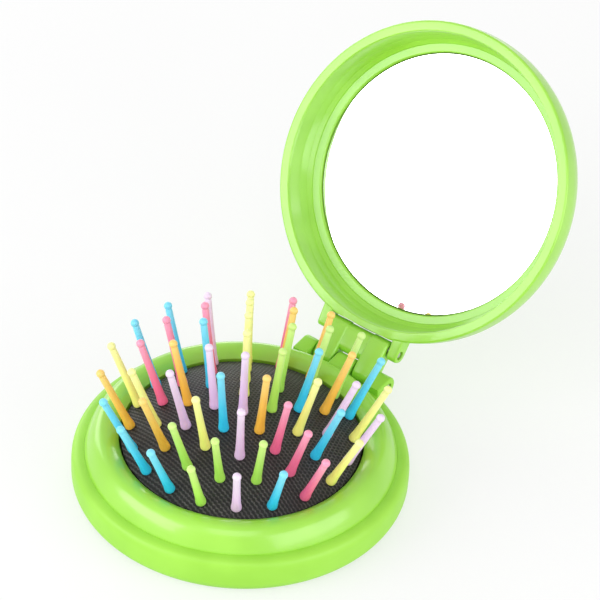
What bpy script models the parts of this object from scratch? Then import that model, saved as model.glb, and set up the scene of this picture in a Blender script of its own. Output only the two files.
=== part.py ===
"""Folding pocket mirror comb: a round base with a pop-up bristle pad and a mirror lid on a two-pivot link.

Every piece is modelled as it lies when the comb is shut, with the lid over the base, and is then
placed open by turning the link about the lower pin and the lid about the upper pin.
Metres, +Z up, hinge towards +Y. The origin is under the middle of the open comb's bounding box.
"""
import math

import bmesh
import bpy
from mathutils import Matrix, Vector

# Clearances
GAP = 0.0003                  # between pieces that touch
RUN = 0.00035                 # round a turning barrel
OVERRUN = 0.002               # of every cutter past what it cuts

# Base tray
BASE_RADIUS = 0.0350
TRAY_FOOT_ROUND = 0.0044
TRAY_FLOOR = 0.0018
TRAY_BAND_HEIGHT = 0.0044
TRAY_SHOULDER_HEIGHT = 0.0082
TRAY_LEDGE_HEIGHT = 0.0062
TRAY_WALL = 0.0030
TRAY_SHOULDER_OVERLAP = 0.0010
TRAY_LEDGE = 0.0017
TRAY_RIB = 0.0020
FINGER_HOLE_RADIUS = 0.0160
FINGER_HOLE_ROUND = 0.0006

# Top ring, which clamps the pad's flange
RING_HALF_WIDTH = 0.0032
RING_WALL = 0.0016
RING_ROOF = 0.0012
RING_LIP_DROP = 0.0016
RING_FOOT_DROP = 0.0040
RING_CREST_HEIGHT = 0.0132

# Rubber pad
PAD_SPHERE_RADIUS = 0.0510
PAD_EDGE_HEIGHT = 0.01115
PAD_THICKNESS = 0.0014
PAD_FLANGE = 0.0008
PAD_FLANGE_REACH = 0.0026
PAD_ROLL = 0.0010             # of the dome's edge that rolls down as the dome snaps through

# Bristles, from the pad's surface up and down
BRISTLE_LENGTH = 0.0160
BRISTLE_TIP_RADIUS = 0.00087
BRISTLE_TOP_RADIUS = 0.00066
BRISTLE_SHAFT_RADIUS = 0.00080
BRISTLE_FLARE_RADIUS = 0.00118
BRISTLE_FLARE_HEIGHT = 0.0020
BRISTLE_FOOT_EDGE = 0.0007
BRISTLE_NECK_RADIUS = 0.00050
BRISTLE_HEAD_RADIUS = 0.0009
BRISTLE_HEAD = 0.0007
RING_RADIUS_SHARES = (0.2447, 0.4739, 0.6963, 0.913)
RING_COUNTS = (5, 10, 15, 20)
RING_STARTS = (270, 306, 294, 306)
OPEN_LEANS = (6.5, 14.2, 20.6, 24.6)
SHUT_LEANS = (8, 14, 27, 42)

# Lid
LID_INSET = 0.0004             # of the lid's side behind the base's widest line
LID_RIM = 0.0021
LID_RIM_ROUND = 0.0008
LID_RECESS = 0.0085
LID_BACK = 0.0014
LID_SIDE = 0.0042
LID_BACK_ROUND = 0.0061
LEDGE_INSET = 0.0018
LEDGE_DEPTH = 0.0066
LEDGE_EDGE = 0.0004
LEDGE_SLOPE = 0.0007
LEDGE_MARGIN = 0.0004
MIRROR_BORDER = 0.0042
MIRROR_THICKNESS = 0.0010
MIRROR_BEVEL = 0.0002

# Hinge
PIVOT_OUTSET = 0.0009         # of both pins beyond the base's widest line
LOWER_PIVOT_HEIGHT = 0.0084
LINK_LENGTH = 0.0071
LID_PIVOT_DEPTH = 0.0015      # of the upper pin behind the lid's rim
BARREL_RADIUS = 0.0022
LINK_LOWER_RADIUS = 0.0021
LINK_UPPER_RADIUS = 0.0019
LINK_WEB_RADIUS = 0.0017
LINK_WEB_TOP_RADIUS = 0.0013
LID_EAR_RADIUS = 0.0018
EAR_SINK = 0.0003
EAR_INNER = 0.0080
EAR_OUTER = 0.0115
LID_EAR_OUTER = 0.0105
KNUCKLE_HALF_WIDTH = 0.0025
PIN_RADIUS = 0.0007
LINK_OPEN = 43.5              # degrees that the link leans from upright
LID_OPEN = 121.6              # degrees between base and lid

# Facets
DISC_STEPS = 48
PAD_STEPS = 40
BRISTLE_STEPS = 6
BARREL_STEPS = 20
HOLE_STEPS = 12

# What follows from the sizes
PIVOT_REACH = BASE_RADIUS + PIVOT_OUTSET
TRAY_FLAT_RADIUS = BASE_RADIUS - TRAY_FOOT_ROUND
LID_RADIUS = BASE_RADIUS - LID_INSET
LID_RIM_INNER_RADIUS = LID_RADIUS - LID_RIM
LID_BACK_FLAT_RADIUS = LID_RADIUS - LID_BACK_ROUND
LEDGE_RADIUS = LID_RIM_INNER_RADIUS - LEDGE_INSET
MIRROR_RADIUS = LID_RIM_INNER_RADIUS - MIRROR_BORDER
RING_OUTER_RADIUS = BASE_RADIUS - TRAY_WALL - GAP
RING_MIDDLE_RADIUS = RING_OUTER_RADIUS - RING_HALF_WIDTH
RING_INNER_RADIUS = RING_MIDDLE_RADIUS - RING_HALF_WIDTH
RING_SKIRT_BOTTOM = TRAY_LEDGE_HEIGHT + GAP
PAD_RADIUS = RING_INNER_RADIUS - GAP
RING_RADII = tuple(PAD_RADIUS * share for share in RING_RADIUS_SHARES)
PAD_HEIGHT = PAD_SPHERE_RADIUS - math.sqrt(PAD_SPHERE_RADIUS**2 - PAD_RADIUS**2)
PAD_CENTRE_HEIGHT = PAD_EDGE_HEIGHT + PAD_HEIGHT - PAD_SPHERE_RADIUS
FLANGE_RADIUS = PAD_RADIUS + PAD_FLANGE_REACH
RING_FOOT_HEIGHT = RING_CREST_HEIGHT - RING_FOOT_DROP
FLANGE_TOP = RING_FOOT_HEIGHT - GAP
FLANGE_BOTTOM = FLANGE_TOP - PAD_FLANGE
LID_RIM_HEIGHT = LOWER_PIVOT_HEIGHT + LINK_LENGTH - LID_PIVOT_DEPTH
MIRROR_HEIGHT = LID_RIM_HEIGHT + LID_RECESS
LID_INSIDE_HEIGHT = MIRROR_HEIGHT + MIRROR_THICKNESS + GAP
LID_TOP_HEIGHT = LID_INSIDE_HEIGHT + LID_BACK
LOWER_PIVOT = Vector((0, PIVOT_REACH, LOWER_PIVOT_HEIGHT))
UPPER_PIVOT = Vector((0, PIVOT_REACH, LOWER_PIVOT_HEIGHT + LINK_LENGTH))

PLASTIC_GREEN = (0.38, 0.78, 0.06, 1)
BRISTLE_COLOURS = {
    "orange": (1.0, 0.42, 0.08, 1),
    "yellow": (0.93, 0.92, 0.20, 1),
    "pink": (0.95, 0.16, 0.33, 1),
    "blue": (0.03, 0.55, 0.90, 1),
    "lilac": (0.70, 0.48, 0.80, 1),
    "green": (0.35, 0.67, 0.10, 1),
}
RING_COLOURS = (
    "blue orange green yellow lilac",
    "lilac pink yellow blue green yellow blue orange lilac yellow",
    "green green pink blue lilac orange green orange yellow pink pink pink yellow orange green",
    "lilac blue pink yellow lilac yellow blue green orange pink"
    " yellow lilac blue blue yellow orange blue blue blue green",
)


def clear_scene():
    """Remove what the scene holds."""
    for old in list(bpy.data.objects):
        bpy.data.objects.remove(old, do_unlink=True)


def new_collection(name):
    """Add a collection to the scene."""
    collection = bpy.data.collections.new(name)
    bpy.context.scene.collection.children.link(collection)
    return collection


def plain_material(name, colour, roughness, metallic=0.0):
    """A Principled material with one colour."""
    made = bpy.data.materials.new(name)
    made.use_nodes = True
    shader = made.node_tree.nodes["Principled BSDF"]
    shader.inputs["Base Color"].default_value = colour
    shader.inputs["Roughness"].default_value = roughness
    shader.inputs["Metallic"].default_value = metallic
    return made


def arc(centre_r, centre_z, radius, start, end, count):
    """Points of an arc in the (r, z) plane, from start to end degrees, ends included."""
    angles = [math.radians(start + (end - start) * i / count) for i in range(count + 1)]
    return [(centre_r + radius * math.cos(a), centre_z + radius * math.sin(a)) for a in angles]


def profile_mesh(name, points, closed):
    """An edge chain in the XZ plane, for a Screw modifier to turn about Z."""
    outline = bmesh.new()
    corners = [outline.verts.new((r, 0, z)) for r, z in points]
    for first, second in zip(corners, corners[1:]):
        outline.edges.new((first, second))
    if closed:
        outline.edges.new((corners[-1], corners[0]))
    mesh = bpy.data.meshes.new(name)
    outline.to_mesh(mesh)
    outline.free()
    return mesh


def turned(name, points, steps, collection, closed=True):
    """A profile turned about Z. It runs down its outer side, so the faces point outwards."""
    piece = bpy.data.objects.new(name, profile_mesh(name, points, closed))
    collection.objects.link(piece)
    screw = piece.modifiers.new("turn", "SCREW")
    screw.steps = steps
    screw.render_steps = steps
    screw.use_merge_vertices = True
    screw.merge_threshold = 0.00001
    screw.use_smooth_shade = False
    return piece


def cylinder_along_x(name, radius, low_x, high_x, centre, steps, collection):
    """A round bar along X between two stations."""
    bar = bmesh.new()
    turn = Matrix.Rotation(math.pi / 2, 4, "Y")
    middle = Matrix.Translation(((low_x + high_x) / 2, centre.y, centre.z))
    bmesh.ops.create_cone(bar, cap_ends=True, segments=steps, radius1=radius, radius2=radius,
                          depth=high_x - low_x, matrix=middle @ turn)
    mesh = bpy.data.meshes.new(name)
    bar.to_mesh(mesh)
    bar.free()
    piece = bpy.data.objects.new(name, mesh)
    collection.objects.link(piece)
    return piece


def plate_across_x(name, outline, low_x, high_x, collection):
    """A flat outline in the (y, z) plane, given a thickness along X."""
    curve = bpy.data.curves.new(name, "CURVE")
    curve.dimensions = "2D"
    curve.fill_mode = "BOTH"
    curve.extrude = (high_x - low_x) / 2
    spline = curve.splines.new("POLY")
    spline.points.add(len(outline) - 1)
    for point, (y, z) in zip(spline.points, outline):
        point.co = (y, z, 0, 1)
    spline.use_cyclic_u = True
    holder = bpy.data.objects.new(name, curve)
    collection.objects.link(holder)
    stand = Matrix(((0, 0, 1, (low_x + high_x) / 2), (1, 0, 0, 0), (0, 1, 0, 0), (0, 0, 0, 1)))
    bpy.context.view_layer.update()
    evaluated = holder.evaluated_get(bpy.context.evaluated_depsgraph_get())
    mesh = bpy.data.meshes.new_from_object(evaluated)
    shape = bmesh.new()
    shape.from_mesh(mesh)
    bmesh.ops.remove_doubles(shape, verts=shape.verts, dist=GAP / 100)
    bmesh.ops.transform(shape, matrix=stand, verts=shape.verts)
    bmesh.ops.recalc_face_normals(shape, faces=shape.faces)
    shape.to_mesh(mesh)
    shape.free()
    bpy.data.objects.remove(holder, do_unlink=True)
    piece = bpy.data.objects.new(name, mesh)
    collection.objects.link(piece)
    return piece


def capsule(first, second, radius, second_radius, count):
    """The outline of a tapering bar with round ends between two points of the (y, z) plane."""
    along = math.degrees(math.atan2(second.z - first.z, second.y - first.y))
    taper = math.degrees(math.asin((radius - second_radius) / (second - first).length))
    side = 90 - taper
    return (arc(second.y, second.z, second_radius, along - side, along + side, count)
            + arc(first.y, first.z, radius, along + side, along + 360 - side, count))


def boolean(piece, other, operation):
    """Join or cut a piece with another object, which stays hidden as a tool."""
    step = piece.modifiers.new(other.name, "BOOLEAN")
    step.operation = operation
    step.solver = "EXACT"
    step.object = other
    other.hide_render = True
    other.display_type = "WIRE"


def settled(piece):
    """Replace a piece's modifiers by the mesh that they make."""
    bpy.context.view_layer.update()
    evaluated = piece.evaluated_get(bpy.context.evaluated_depsgraph_get())
    mesh = bpy.data.meshes.new_from_object(evaluated)
    mesh.name = piece.name
    piece.modifiers.clear()
    piece.data = mesh
    return piece


def finish(piece, material, sharp=35):
    """Give a piece its material and smooth its round faces."""
    piece.data.materials.clear()
    piece.data.materials.append(material)
    piece.data.shade_smooth()
    piece.data.set_sharp_from_angle(angle=math.radians(sharp))


def hang(piece, pivot):
    """Put a piece's origin on its pivot and parent it to the pivot's empty."""
    piece.data.transform(Matrix.Translation(-Vector(pivot["shut_place"])))
    piece.parent = pivot


def tray_section():
    """Half section of the base tray: floor, outer band, ledge for the ring and rib under the pad."""
    wall_inner = BASE_RADIUS - TRAY_WALL
    ledge_inner = wall_inner - TRAY_LEDGE
    rib_outer = FLANGE_RADIUS + GAP
    rib_inner = rib_outer - TRAY_RIB
    rib_top = FLANGE_BOTTOM - GAP
    shoulder_height = TRAY_SHOULDER_HEIGHT - TRAY_BAND_HEIGHT
    shoulder_width = TRAY_WALL + TRAY_SHOULDER_OVERLAP
    hole = FINGER_HOLE_RADIUS
    points = [(BASE_RADIUS - shoulder_width * (1 - math.sin(math.radians(turn))),
               TRAY_BAND_HEIGHT + shoulder_height * math.cos(math.radians(turn)))
              for turn in (14, 30, 45, 60, 75)]
    points[0] = (wall_inner, points[0][1])
    points += arc(TRAY_FLAT_RADIUS, TRAY_FOOT_ROUND, TRAY_FOOT_ROUND, 0, -90, 5)
    points += [(hole + FINGER_HOLE_ROUND, 0), (hole, FINGER_HOLE_ROUND)]
    points += [(hole, TRAY_FLOOR), (rib_inner, TRAY_FLOOR), (rib_inner, rib_top)]
    points += [(rib_outer, rib_top), (rib_outer, TRAY_FLOOR), (ledge_inner, TRAY_FLOOR)]
    points += [(ledge_inner, TRAY_LEDGE_HEIGHT), (wall_inner, TRAY_LEDGE_HEIGHT)]
    return points


def pivot_notch(name, pivot, radius, collection):
    """The cutter that frees one end of the link in a wall: a bar about its pin."""
    return cylinder_along_x(name, radius + RUN, -EAR_INNER, EAR_INNER, pivot, BARREL_STEPS,
                            collection)


def tray_ear(root_y):
    """Outline of a tray ear: round about its pin, with a root that runs back into the wall."""
    rise = BARREL_RADIUS * 0.7
    outline = arc(LOWER_PIVOT.y, LOWER_PIVOT.z, BARREL_RADIUS, -90, 90, 9)
    return outline + [(root_y, LOWER_PIVOT.z + rise), (root_y, LOWER_PIVOT.z - BARREL_RADIUS)]


def lid_ear(root_y):
    """Outline of a lid ear: just behind the rim in front and round about its pin behind."""
    front = LID_RIM_HEIGHT + EAR_SINK / 2
    corner = LID_EAR_RADIUS * 0.6
    far = UPPER_PIVOT.y + LID_EAR_RADIUS
    outline = arc(far - corner, front + corner, corner, -90, 0, 3)
    outline += arc(UPPER_PIVOT.y, UPPER_PIVOT.z + EAR_SINK, LID_EAR_RADIUS, 0, 90, 5)
    return outline + [(root_y, UPPER_PIVOT.z + LID_EAR_RADIUS + EAR_SINK * 2), (root_y, front)]


def make_tray(parts, tools, material):
    """Base tray with two hinge ears and the middle knuckle."""
    tray = turned("base_tray", tray_section(), DISC_STEPS, parts)
    boolean(tray, pivot_notch("tray_notch", LOWER_PIVOT, LINK_LOWER_RADIUS, tools), "DIFFERENCE")
    ear_root = math.sqrt((BASE_RADIUS - TRAY_WALL + GAP)**2 - EAR_INNER**2) + GAP
    knuckle_root = BASE_RADIUS - TRAY_WALL + GAP
    outline = tray_ear(ear_root)
    middle_outline = tray_ear(knuckle_root)
    boolean(tray, plate_across_x("tray_ear_left", outline, -EAR_OUTER, -EAR_INNER, tools), "UNION")
    boolean(tray, plate_across_x("tray_ear_right", outline, EAR_INNER, EAR_OUTER, tools), "UNION")
    boolean(tray, plate_across_x("tray_knuckle", middle_outline, -KNUCKLE_HALF_WIDTH,
                                 KNUCKLE_HALF_WIDTH, tools), "UNION")
    boolean(tray, pin_hole("tray_pin_hole", LOWER_PIVOT, tools), "DIFFERENCE")
    finish(settled(tray), material)
    return tray


def pin_hole(name, pivot, collection):
    """The cutter for a hinge pin's hole."""
    reach = EAR_OUTER + OVERRUN
    return cylinder_along_x(name, PIN_RADIUS + GAP, -reach, reach, pivot, HOLE_STEPS, collection)


def make_top_ring(parts, material):
    """The rounded ring that clamps the pad's flange and slopes down to the tray's shoulder."""
    skirt_inner = RING_OUTER_RADIUS - RING_WALL
    flank_drop = RING_CREST_HEIGHT - TRAY_SHOULDER_HEIGHT
    inner_way = [i / 4 for i in range(4, 0, -1)]
    outer_way = [i / 7 for i in range(8)]
    points = [(RING_OUTER_RADIUS, RING_SKIRT_BOTTOM), (skirt_inner, RING_SKIRT_BOTTOM)]
    points += [(skirt_inner, TRAY_SHOULDER_HEIGHT + GAP)]
    points += [(RING_MIDDLE_RADIUS + RING_HALF_WIDTH * 0.35, RING_CREST_HEIGHT - RING_ROOF * 1.5)]
    points += [(RING_MIDDLE_RADIUS - RING_HALF_WIDTH * 0.25, RING_CREST_HEIGHT - RING_ROOF * 1.5)]
    points += [(RING_INNER_RADIUS + RING_WALL, RING_FOOT_HEIGHT), (RING_INNER_RADIUS, RING_FOOT_HEIGHT)]
    points += [(RING_MIDDLE_RADIUS - RING_HALF_WIDTH * w, RING_CREST_HEIGHT - RING_LIP_DROP * w**2.2)
               for w in inner_way]
    points += [(RING_MIDDLE_RADIUS + RING_HALF_WIDTH * w, RING_CREST_HEIGHT - flank_drop * w**2.2)
               for w in outer_way]
    ring = turned("top_ring", points, DISC_STEPS, parts)
    finish(settled(ring), material, sharp=45)
    return ring


def pad_surface(radius, depth=0.0):
    """Height of the pad's dome at a radius, or of a surface that lies deeper in it."""
    sphere = PAD_SPHERE_RADIUS - depth
    return PAD_CENTRE_HEIGHT + math.sqrt(sphere**2 - radius**2)


def bristle_places():
    """Ring index, number, angle, radius and lean of each bristle outside the middle."""
    for ring, (radius, count, start) in enumerate(zip(RING_RADII, RING_COUNTS, RING_STARTS)):
        lean = math.radians(OPEN_LEANS[ring])
        for number in range(count):
            yield ring, number, math.radians(start + 360 / count * number), radius, lean


def standing(angle, radius, lean):
    """The placement of a bristle that stands on the dome at its lean."""
    turn = Matrix.Rotation(angle, 4, "Z")
    shift = Matrix.Translation((radius, 0, pad_surface(radius)))
    return turn @ shift @ Matrix.Rotation(lean, 4, "Y")


def make_pad(parts, tools, material):
    """The rubber dome with its flange, and a hole for each bristle's neck."""
    rings = 6
    inner_radius = PAD_RADIUS - PAD_THICKNESS
    shares = [i / rings for i in range(rings + 1)]
    points = [(PAD_RADIUS * s, pad_surface(PAD_RADIUS * s)) for s in shares]
    points += [(PAD_RADIUS, FLANGE_TOP), (FLANGE_RADIUS, FLANGE_TOP)]
    points += [(FLANGE_RADIUS, FLANGE_BOTTOM), (inner_radius, FLANGE_BOTTOM)]
    under = [inner_radius * s for s in reversed(shares)]
    points += [(r, pad_surface(r, PAD_THICKNESS)) for r in under]
    pad = turned("cushion", points, PAD_STEPS, parts, closed=False)
    holes = bmesh.new()
    depth = PAD_THICKNESS + 2 * GAP + OVERRUN
    placements = [Matrix.Translation((0, 0, pad_surface(0)))]
    placements += [standing(angle, radius, lean) for _, _, angle, radius, lean in bristle_places()]
    sink = Matrix.Translation((0, 0, -PAD_THICKNESS / 2))
    for placement in placements:
        bmesh.ops.create_cone(holes, cap_ends=True, segments=BRISTLE_STEPS,
                              radius1=BRISTLE_NECK_RADIUS + GAP, radius2=BRISTLE_NECK_RADIUS + GAP,
                              depth=depth, matrix=placement @ sink)
    mesh = bpy.data.meshes.new("pad_holes")
    holes.to_mesh(mesh)
    holes.free()
    cutter = bpy.data.objects.new("pad_holes", mesh)
    tools.objects.link(cutter)
    boolean(pad, cutter, "DIFFERENCE")
    finish(settled(pad), material)
    return pad


def bristle_profile():
    """Ball tip, tapering shaft, flared foot on the pad, neck through it and head under it."""
    ball_z = BRISTLE_LENGTH - BRISTLE_TIP_RADIUS
    neck_bottom = -PAD_THICKNESS - GAP
    points = arc(0, ball_z, BRISTLE_TIP_RADIUS, 90, -40, 3)
    points[0] = (0, BRISTLE_LENGTH)
    points += [(BRISTLE_TOP_RADIUS, ball_z - BRISTLE_TIP_RADIUS)]
    points += [(BRISTLE_SHAFT_RADIUS, BRISTLE_FLARE_HEIGHT)]
    points += [(BRISTLE_FLARE_RADIUS, BRISTLE_FOOT_EDGE), (BRISTLE_FLARE_RADIUS, GAP)]
    points += [(BRISTLE_NECK_RADIUS, GAP), (BRISTLE_NECK_RADIUS, neck_bottom)]
    points += [(BRISTLE_HEAD_RADIUS, neck_bottom), (BRISTLE_NECK_RADIUS, neck_bottom - BRISTLE_HEAD)]
    points += [(0, neck_bottom - BRISTLE_HEAD)]
    return points


def smooth_share(share):
    """The smooth step from 0 to 1 of a share between 0 and 1."""
    return share * share * (3 - 2 * share)


def bristle_pivot(radius, lean, shut_lean):
    """Radius and height of the line that a bristle turns about as the pad is pressed through."""
    share = (pad_surface(radius) - PAD_EDGE_HEIGHT + PAD_ROLL) / (PAD_HEIGHT + PAD_ROLL)
    drop = 2 * PAD_HEIGHT * smooth_share(share)
    reach = drop / 2 / math.tan((lean + math.radians(shut_lean)) / 2)
    return radius + reach, pad_surface(radius) - drop / 2


def make_bristles(parts, materials, base):
    """The middle bristle and four rings of them, each hung from an empty on its turning line."""
    pattern = turned("bristle_pattern", bristle_profile(), BRISTLE_STEPS, parts, closed=False)
    settled(pattern)
    pattern.data.shade_smooth()
    pattern.data.set_sharp_from_angle(angle=math.radians(65))
    middle = bpy.data.objects.new("bristle_middle", pattern.data.copy())
    middle.data.materials.append(materials["lilac"])
    middle.matrix_world = Matrix.Translation((0, 0, pad_surface(0)))
    middle.parent = base
    parts.objects.link(middle)
    for ring, number, angle, radius, lean in bristle_places():
        name = f"bristle_{ring + 1}_{number + 1:02d}"
        colour = RING_COLOURS[ring].split()[number]
        bristle = bpy.data.objects.new(name, pattern.data.copy())
        bristle.data.materials.append(materials[colour])
        pivot_radius, pivot_height = bristle_pivot(radius, lean, SHUT_LEANS[ring])
        pivot = bpy.data.objects.new(name + "_pivot", None)
        place = Matrix.Rotation(angle, 4, "Z") @ Matrix.Translation((pivot_radius, 0, pivot_height))
        pivot.matrix_world = place
        pivot.parent = base
        bristle.parent = pivot
        bristle.matrix_local = place.inverted() @ standing(angle, radius, lean)
        parts.objects.link(pivot)
        parts.objects.link(bristle)
    bpy.data.objects.remove(pattern, do_unlink=True)


def lid_section():
    """Half section of the lid, shut: rim down, back up, with a stepped ledge round the mirror."""
    rim_inner = LID_RIM_INNER_RADIUS
    pocket = MIRROR_RADIUS + GAP
    back_round = LID_TOP_HEIGHT - LID_RIM_HEIGHT - LID_SIDE
    ledge = LID_RIM_HEIGHT + LEDGE_DEPTH
    points = [(0, LID_TOP_HEIGHT), (LID_BACK_FLAT_RADIUS, LID_TOP_HEIGHT)]
    for turn in (67, 44, 22, 0):
        a = math.radians(turn)
        points += [(LID_BACK_FLAT_RADIUS + (LID_RADIUS - LID_BACK_FLAT_RADIUS) * math.cos(a),
                    LID_RIM_HEIGHT + LID_SIDE + back_round * math.sin(a))]
    points += arc(LID_RADIUS - LID_RIM_ROUND, LID_RIM_HEIGHT + LID_RIM_ROUND, LID_RIM_ROUND, 0, -90, 3)
    points += [(rim_inner + LID_RIM_ROUND / 2, LID_RIM_HEIGHT)]
    points += [(rim_inner, LID_RIM_HEIGHT + LID_RIM_ROUND)]
    points += [(rim_inner - (rim_inner - LEDGE_RADIUS) * 0.25, LID_RIM_HEIGHT + LEDGE_DEPTH * 0.65)]
    points += [(LEDGE_RADIUS + LEDGE_EDGE, ledge - LEDGE_EDGE), (LEDGE_RADIUS, ledge)]
    points += [(pocket + LEDGE_MARGIN, ledge + LEDGE_SLOPE), (pocket, ledge + LEDGE_SLOPE + LEDGE_MARGIN)]
    points += [(pocket, LID_INSIDE_HEIGHT)]
    points += [(0, LID_INSIDE_HEIGHT)]
    return points


def make_lid(parts, tools, material):
    """The lid shell with its two hinge ears and the notch for the link."""
    lid = turned("lid_shell", lid_section(), DISC_STEPS, parts, closed=False)
    boolean(lid, pivot_notch("lid_notch", UPPER_PIVOT, LINK_UPPER_RADIUS, tools), "DIFFERENCE")
    way = UPPER_PIVOT.y - LINK_UPPER_RADIUS - RUN - GAP / 3
    high = UPPER_PIVOT.z - RUN
    low = LID_RIM_HEIGHT - OVERRUN
    box = [(way, low), (UPPER_PIVOT.y, low), (UPPER_PIVOT.y, high), (way, high)]
    boolean(lid, plate_across_x("lid_slot", box, -EAR_INNER, EAR_INNER, tools), "DIFFERENCE")
    root = math.sqrt((LID_RIM_INNER_RADIUS + LID_RIM / 4)**2 - EAR_INNER**2)
    outline = lid_ear(root)
    boolean(lid, plate_across_x("lid_ear_left", outline, -LID_EAR_OUTER, -EAR_INNER, tools), "UNION")
    boolean(lid, plate_across_x("lid_ear_right", outline, EAR_INNER, LID_EAR_OUTER, tools), "UNION")
    boolean(lid, pin_hole("lid_pin_hole", UPPER_PIVOT, tools), "DIFFERENCE")
    finish(settled(lid), material)
    return lid


def make_mirror(parts, material):
    """The round mirror, with a small bevel round both faces."""
    top = MIRROR_HEIGHT + MIRROR_THICKNESS
    edge = MIRROR_RADIUS - MIRROR_BEVEL
    points = [(0, top), (edge, top), (MIRROR_RADIUS, top - MIRROR_BEVEL)]
    points += [(MIRROR_RADIUS, MIRROR_HEIGHT + MIRROR_BEVEL), (edge, MIRROR_HEIGHT), (0, MIRROR_HEIGHT)]
    mirror = turned("mirror", points, DISC_STEPS, parts, closed=False)
    finish(settled(mirror), material, sharp=20)
    return mirror


def make_link(parts, tools, material):
    """The link: two arms round the lower pin, joined by a barrel on the upper pin."""
    inner = KNUCKLE_HALF_WIDTH + RUN
    outer = EAR_INNER - RUN
    arm = capsule(LOWER_PIVOT, UPPER_PIVOT, LINK_LOWER_RADIUS, LINK_UPPER_RADIUS, 9)
    web_start = LOWER_PIVOT + Vector((0, 0, BARREL_RADIUS + RUN + LINK_WEB_RADIUS))
    web = capsule(web_start, UPPER_PIVOT, LINK_WEB_RADIUS, LINK_WEB_TOP_RADIUS, 6)
    link = plate_across_x("hinge_link", arm, inner, outer, parts)
    boolean(link, plate_across_x("link_arm_left", arm, -outer, -inner, tools), "UNION")
    boolean(link, plate_across_x("link_web", web, -inner - GAP, inner + GAP, tools), "UNION")
    for name, pivot in (("link_lower_hole", LOWER_PIVOT), ("link_upper_hole", UPPER_PIVOT)):
        boolean(link, pin_hole(name, pivot, tools), "DIFFERENCE")
    finish(settled(link), material)
    return link


def make_pin(name, pivot, ear_outer, parts, material):
    """A hinge pin, just short of its ears' outer faces."""
    reach = ear_outer - GAP
    pin = cylinder_along_x(name, PIN_RADIUS, -reach, reach, pivot, HOLE_STEPS, parts)
    finish(pin, material)
    return pin


def pivot_empty(name, shut_place, parent, turn, collection):
    """An empty on a pin's line. It carries what turns about the pin and is turned open."""
    empty = bpy.data.objects.new(name, None)
    empty["shut_place"] = list(shut_place)
    empty.parent = parent
    inherited = Vector(parent["shut_place"])
    empty.location = Vector(shut_place) - inherited
    empty.rotation_euler.x = -math.radians(turn)
    collection.objects.link(empty)
    return empty


def centre_on_box(base, parts):
    """Move the whole comb so that its box stands centred on the origin."""
    bpy.context.view_layer.update()
    corners = []
    for piece in parts.objects:
        if piece.type == "MESH":
            corners += [piece.matrix_world @ vertex.co for vertex in piece.data.vertices]
    low_y = min(corner.y for corner in corners)
    high_y = max(corner.y for corner in corners)
    base.location.y = -(low_y + high_y) / 2


def main():
    """Build the comb, open it and centre it."""
    clear_scene()
    parts = new_collection("pocket_mirror_comb")
    tools = new_collection("cutters")
    green = plain_material("green_plastic", PLASTIC_GREEN, 0.25)
    rubber = plain_material("black_rubber", (0.02, 0.02, 0.02, 1), 0.8)
    steel = plain_material("pin_steel", (0.6, 0.6, 0.6, 1), 0.3, 1.0)
    silver = plain_material("mirror_silver", (0.9, 0.9, 0.9, 1), 0.03, 1.0)
    nylons = {name: plain_material("bristle_" + name, colour, 0.35)
              for name, colour in BRISTLE_COLOURS.items()}
    base = bpy.data.objects.new("base_place", None)
    base["shut_place"] = [0, 0, 0]
    parts.objects.link(base)
    link_pivot = pivot_empty("link_pivot", LOWER_PIVOT, base, LINK_OPEN, parts)
    lid_pivot = pivot_empty("lid_pivot", UPPER_PIVOT, link_pivot, LID_OPEN - LINK_OPEN, parts)
    fixed = [make_tray(parts, tools, green), make_top_ring(parts, green)]
    fixed += [make_pad(parts, tools, rubber)]
    fixed += [make_pin("lower_hinge_pin", LOWER_PIVOT, EAR_OUTER, parts, steel)]
    for piece in fixed:
        piece.parent = base
    make_bristles(parts, nylons, base)
    hang(make_link(parts, tools, green), link_pivot)
    for piece in (make_lid(parts, tools, green), make_mirror(parts, silver),
                  make_pin("upper_hinge_pin", UPPER_PIVOT, LID_EAR_OUTER, parts, steel)):
        hang(piece, lid_pivot)
    centre_on_box(base, parts)


main()
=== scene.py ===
"""Looks of the folding pocket mirror comb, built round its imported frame.

Every piece is worked out here as a fine surface that stands for its plain solid, and every
surface gets a procedural finish. Lengths are in metres. Z is up and the hinge lies towards +Y.
"""
from __future__ import annotations

import logging
import math
from dataclasses import dataclass, field
from enum import Enum
from typing import Dict, Iterator, List, Optional, Sequence, Tuple, Union

import bpy
import numpy as np
from mathutils import Matrix, Vector

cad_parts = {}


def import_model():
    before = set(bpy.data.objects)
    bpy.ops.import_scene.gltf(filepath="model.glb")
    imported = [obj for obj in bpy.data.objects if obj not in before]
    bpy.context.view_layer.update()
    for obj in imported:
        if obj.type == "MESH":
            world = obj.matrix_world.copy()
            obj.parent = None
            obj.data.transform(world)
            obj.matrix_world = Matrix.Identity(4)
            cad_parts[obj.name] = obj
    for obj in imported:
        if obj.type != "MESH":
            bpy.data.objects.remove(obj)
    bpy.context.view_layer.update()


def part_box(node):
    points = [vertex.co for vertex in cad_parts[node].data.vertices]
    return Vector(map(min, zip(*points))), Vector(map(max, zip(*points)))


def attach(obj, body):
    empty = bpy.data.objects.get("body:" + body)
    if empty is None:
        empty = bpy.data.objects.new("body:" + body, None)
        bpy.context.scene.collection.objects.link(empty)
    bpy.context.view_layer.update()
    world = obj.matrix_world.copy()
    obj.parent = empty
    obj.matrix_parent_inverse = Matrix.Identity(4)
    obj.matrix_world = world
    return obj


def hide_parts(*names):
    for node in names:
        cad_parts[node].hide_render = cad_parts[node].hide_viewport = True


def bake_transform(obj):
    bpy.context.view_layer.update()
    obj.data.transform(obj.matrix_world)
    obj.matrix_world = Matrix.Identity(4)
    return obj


LOG = logging.getLogger("pocket_mirror_comb")
Pair = Tuple[float, float]
Triple = Tuple[float, float, float]
Colour = Triple
Corner = Triple
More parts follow.
